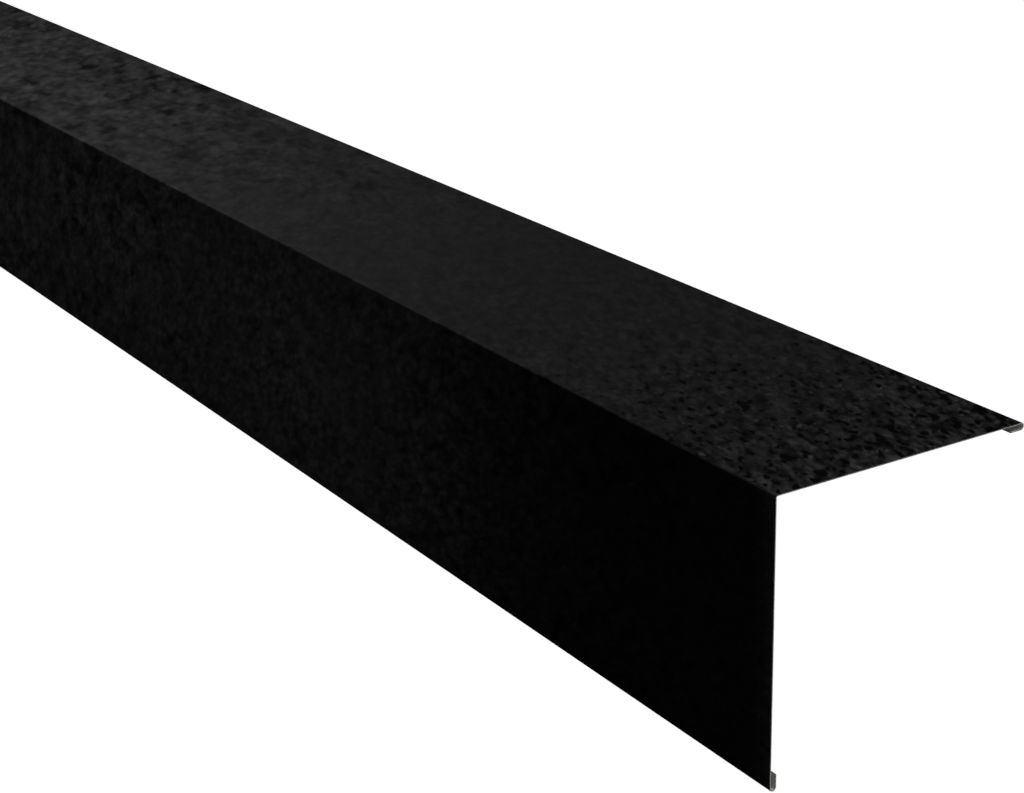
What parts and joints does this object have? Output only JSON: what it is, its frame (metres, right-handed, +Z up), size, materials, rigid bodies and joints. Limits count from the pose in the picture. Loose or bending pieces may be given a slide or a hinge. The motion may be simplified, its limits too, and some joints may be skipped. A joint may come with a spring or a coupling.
{
  "type": "external corner trim",
  "caption": "Long right-angled corner trim folded from one coated steel sheet, with an open hem along each edge, for covering an outside corner of cladding or roofing.",
  "frame": {"origin": "on the level of the hems' lowest points, under the middle of the corner fold, halfway along the length", "axes": "+X along the length, towards the end that is nearer in the picture; +Z up through the corner fold; +Y towards the flange that is on top in the picture"},
  "size_m": [2, 0.1614, 0.0824],
  "materials": {
    "coated_steel": "black grained matt coat outside, thin grey coat on the back, bare cut edges"
  },
  "bodies": {
    "root": {"corner_trim": "coated_steel"}
  },
  "joints": []
}
